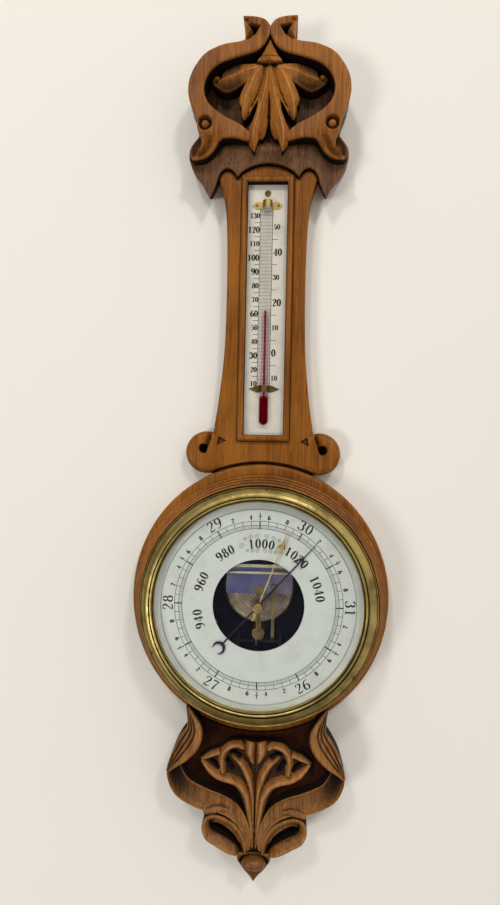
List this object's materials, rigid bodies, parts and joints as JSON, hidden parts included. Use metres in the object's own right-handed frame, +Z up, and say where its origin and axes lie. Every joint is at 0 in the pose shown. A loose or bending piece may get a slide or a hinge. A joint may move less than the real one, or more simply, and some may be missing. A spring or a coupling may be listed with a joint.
{
  "type": "banjo barometer",
  "caption": "Wall-hung banjo barometer: carved oak case with a glazed aneroid dial, hands over an open capsule movement, and a spirit thermometer on the neck.",
  "frame": {"origin": "centre of the hanging hole, in the plane of the flat back", "axes": "+Z up, +X to the right seen from the front, +Y towards the wall, so the dial faces -Y"},
  "size_m": [0.2606, 0.0613, 0.851],
  "materials": {
    "oak": "waxed",
    "dark_oak": "stained and waxed",
    "brass": "polished",
    "enamel": "white enamel",
    "glass": "clear",
    "spirit": "red liquid",
    "blued_steel": "blued",
    "steel": "satin",
    "navy_lacquer": "dark lacquer"
  },
  "bodies": {
    "case": {"neck_board": "oak", "dial_round": "oak", "dial_moulding": "oak", "case_dowels": "oak", "crest_block": "dark_oak", "crest_scroll_left": "oak", "crest_scroll_right": "oak", "crest_curl_left": "oak", "crest_curl_right": "oak", "crest_buttons": "oak", "crest_leaf": "oak", "crest_bud": "oak", "base_block": "dark_oak", "base_ribbon_left": "oak", "base_ribbon_right": "oak", "base_curl_left": "oak", "base_curl_right": "oak", "base_spray": "oak", "base_boss": "oak", "hanging_plate": "brass", "hanging_screws": "brass", "thermometer_beads": "oak", "thermometer_scale": "enamel", "thermometer_tube": "glass", "thermometer_spirit": "spirit", "tube_clip_upper": "brass", "tube_clip_lower": "brass", "tube_clip_pins": "brass", "scale_screw": "steel", "bezel": "brass", "bezel_screws": "brass", "dial_glass": "glass", "sight_ring": "brass", "dial_plate": "enamel", "movement_plate": "navy_lacquer", "movement_screws": "steel", "vacuum_capsule": "steel", "spring_bridge": "navy_lacquer", "rocker_brackets": "brass", "cock_pillar": "brass", "arbor_cock": "brass", "cock_screw": "steel", "hairspring": "blued_steel"},
    "hand_train": {"pressure_hand": "blued_steel", "hand_collet": "brass", "centre_arbor": "steel"},
    "set_pointer": {"set_hand": "brass", "set_knob": "brass"},
    "spring_lever": {"main_spring": "blued_steel", "main_lever": "brass", "capsule_post": "brass"},
    "rocker": {"rocking_bar": "steel"},
    "chain": {"pull_chain": "steel"},
    "adjuster": {"adjusting_screw": "steel"}
  },
  "joints": [
    {"name": "hand_turn", "type": "hinge", "parent": "case", "child": "hand_train", "pos_m": [0, 0, -0.51], "axis": [0, -1, 0], "range_deg": [-48, 252]},
    {"name": "set_turn", "type": "hinge", "parent": "case", "child": "set_pointer", "pos_m": [0, 0, -0.51], "axis": [0, -1, 0], "continuous": true},
    {"name": "lever_rock", "type": "hinge", "parent": "case", "child": "spring_lever", "pos_m": [0, -0.0284, -0.472], "axis": [1, 0, 0], "range_deg": [-2.5, 0.5]},
    {"name": "rocker_turn", "type": "hinge", "parent": "case", "child": "rocker", "pos_m": [0, -0.027, -0.55], "axis": [1, 0, 0], "range_deg": [-4.5, 23.2]},
    {"name": "chain_pull", "type": "slide", "parent": "case", "child": "chain", "axis": [0, 0, -1], "range_m": [-0.00102, 0.00529]},
    {"name": "adjuster_turn", "type": "hinge", "parent": "case", "child": "adjuster", "pos_m": [0, -0.008, -0.498], "axis": [0, 1, 0], "range_deg": [-360, 360]}
  ],
  "couplings": [
    {"joint": "lever_rock", "follows": "hand_turn", "ratio": -0.0098},
    {"joint": "rocker_turn", "follows": "hand_turn", "ratio": 0.0915},
    {"joint": "chain_pull", "follows": "hand_turn", "m_per_rad": 0.0012}
  ]
}
